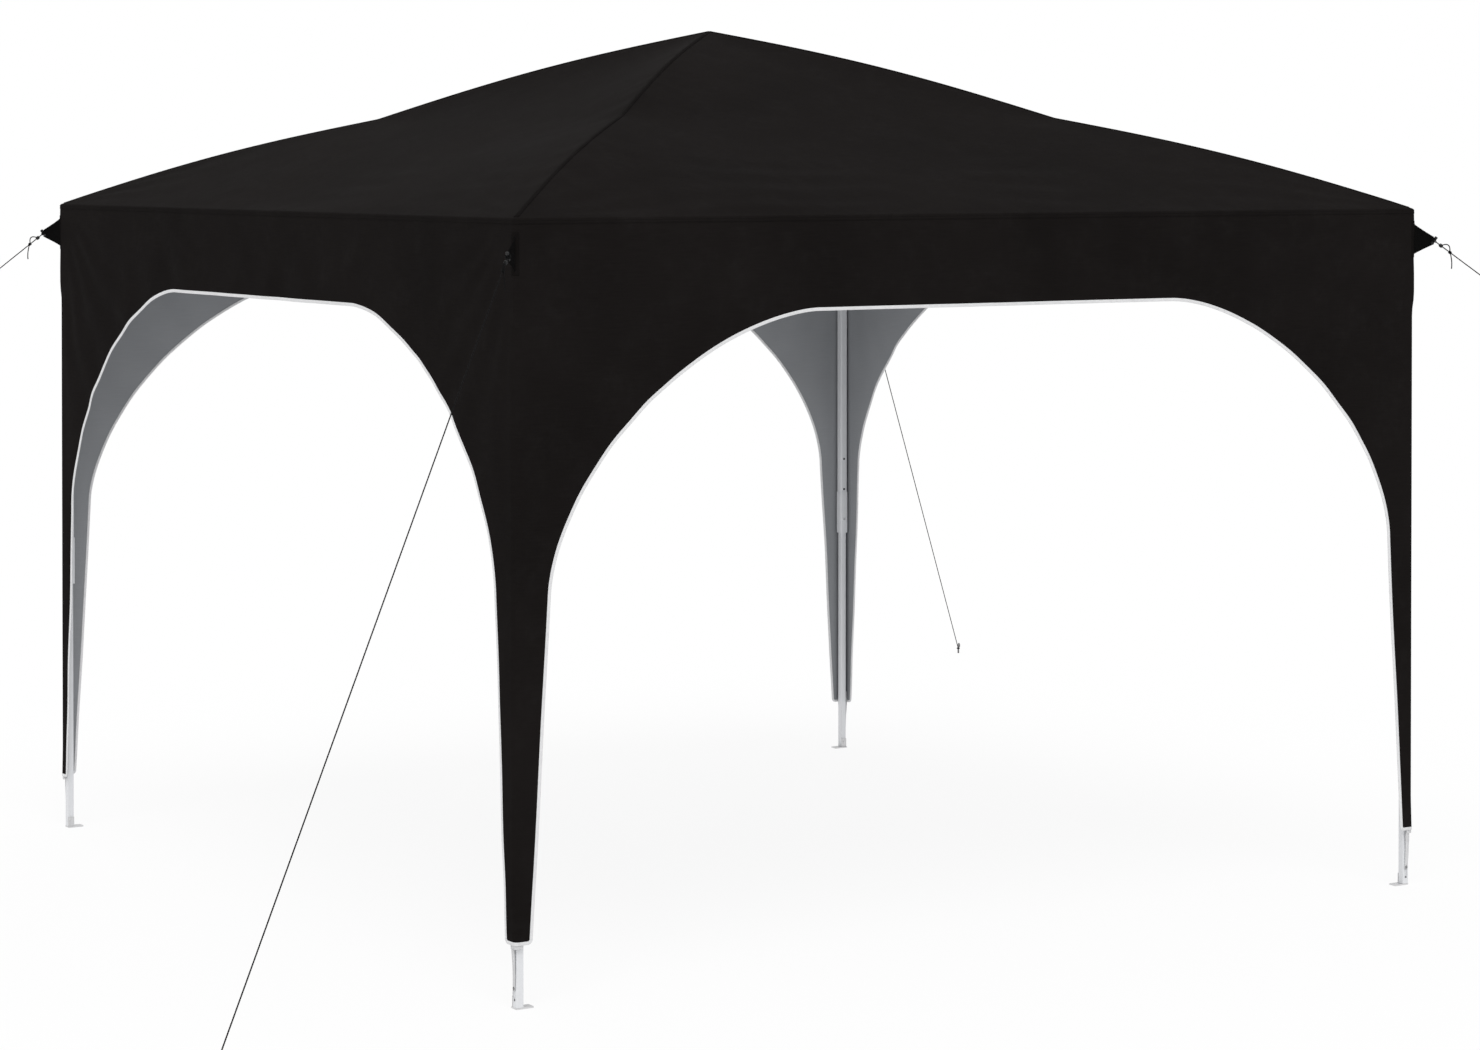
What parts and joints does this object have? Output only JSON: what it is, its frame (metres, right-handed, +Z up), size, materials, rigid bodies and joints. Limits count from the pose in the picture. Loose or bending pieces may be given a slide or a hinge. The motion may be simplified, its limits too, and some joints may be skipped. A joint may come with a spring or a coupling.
{
  "type": "pop-up party tent",
  "caption": "Square pop-up party tent with a hipped cloth roof, arched sides, tapering leg covers, telescoping steel legs and guy ropes to ground pegs.",
  "frame": {"origin": "on the ground under the peak, at the middle of the square footprint", "axes": "+Z up, -Y out of the front arch, +X towards the right side"},
  "size_m": [6.4612, 6.4614, 2.4489],
  "materials": {
    "canopy_cloth": "matt black coated weave",
    "canopy_lining": "silver-grey coated inner side",
    "piping": "white woven edge tape",
    "frame_steel": "light grey powder coat",
    "sleeve_plastic": "light grey moulded",
    "bracket_plastic": "black moulded",
    "foot_steel": "zinc plated",
    "strap_webbing": "pale elastic webbing",
    "tab_webbing": "black webbing",
    "rope_fibre": "grey braided cord",
    "peg_steel": "dark plated steel"
  },
  "bodies": {
    "tent": {"roof_panel_front": "canopy_cloth", "roof_panel_right": "canopy_cloth", "roof_panel_back": "canopy_cloth", "roof_panel_left": "canopy_cloth", "side_panel_front": "canopy_cloth", "side_panel_right": "canopy_cloth", "side_panel_back": "canopy_cloth", "side_panel_left": "canopy_cloth", "side_truss_front": "frame_steel", "side_truss_right": "frame_steel", "side_truss_back": "frame_steel", "side_truss_left": "frame_steel", "ceiling_truss_front": "frame_steel", "ceiling_truss_right": "frame_steel", "ceiling_truss_back": "frame_steel", "ceiling_truss_left": "frame_steel", "upper_leg_front_left": "frame_steel", "upper_leg_front_right": "frame_steel", "upper_leg_back_right": "frame_steel", "upper_leg_back_left": "frame_steel", "leg_sleeve_front_left": "sleeve_plastic", "leg_sleeve_front_right": "sleeve_plastic", "leg_sleeve_back_right": "sleeve_plastic", "leg_sleeve_back_left": "sleeve_plastic", "hem_strap_front_left": "strap_webbing", "hem_strap_front_right": "strap_webbing", "hem_strap_back_right": "strap_webbing", "hem_strap_back_left": "strap_webbing", "corner_bracket_front_left": "bracket_plastic", "corner_bracket_front_right": "bracket_plastic", "corner_bracket_back_right": "bracket_plastic", "corner_bracket_back_left": "bracket_plastic", "slider_bracket_front_left": "bracket_plastic", "slider_bracket_front_right": "bracket_plastic", "slider_bracket_back_right": "bracket_plastic", "slider_bracket_back_left": "bracket_plastic", "guy_tab_front_left": "tab_webbing", "guy_tab_front_right": "tab_webbing", "guy_tab_back_right": "tab_webbing", "guy_tab_back_left": "tab_webbing", "guy_rope_front_left": "rope_fibre", "guy_rope_front_right": "rope_fibre", "guy_rope_back_right": "rope_fibre", "guy_rope_back_left": "rope_fibre", "tent_peg_front_left": "peg_steel", "tent_peg_front_right": "peg_steel", "tent_peg_back_right": "peg_steel", "tent_peg_back_left": "peg_steel", "upper_hub": "bracket_plastic", "lower_hub": "bracket_plastic", "peak_pole": "frame_steel"},
    "leg_front_left": {"lower_leg_front_left": "frame_steel", "foot_front_left": "foot_steel"},
    "leg_front_right": {"lower_leg_front_right": "frame_steel", "foot_front_right": "foot_steel"},
    "leg_back_right": {"lower_leg_back_right": "frame_steel", "foot_back_right": "foot_steel"},
    "leg_back_left": {"lower_leg_back_left": "frame_steel", "foot_back_left": "foot_steel"}
  },
  "joints": [
    {"name": "leg_slide_front_left", "type": "slide", "parent": "tent", "child": "leg_front_left", "axis": [0, 0, 1], "range_m": [0, 0.7]},
    {"name": "leg_slide_front_right", "type": "slide", "parent": "tent", "child": "leg_front_right", "axis": [0, 0, 1], "range_m": [0, 0.7]},
    {"name": "leg_slide_back_right", "type": "slide", "parent": "tent", "child": "leg_back_right", "axis": [0, 0, 1], "range_m": [0, 0.7]},
    {"name": "leg_slide_back_left", "type": "slide", "parent": "tent", "child": "leg_back_left", "axis": [0, 0, 1], "range_m": [0, 0.7]}
  ]
}
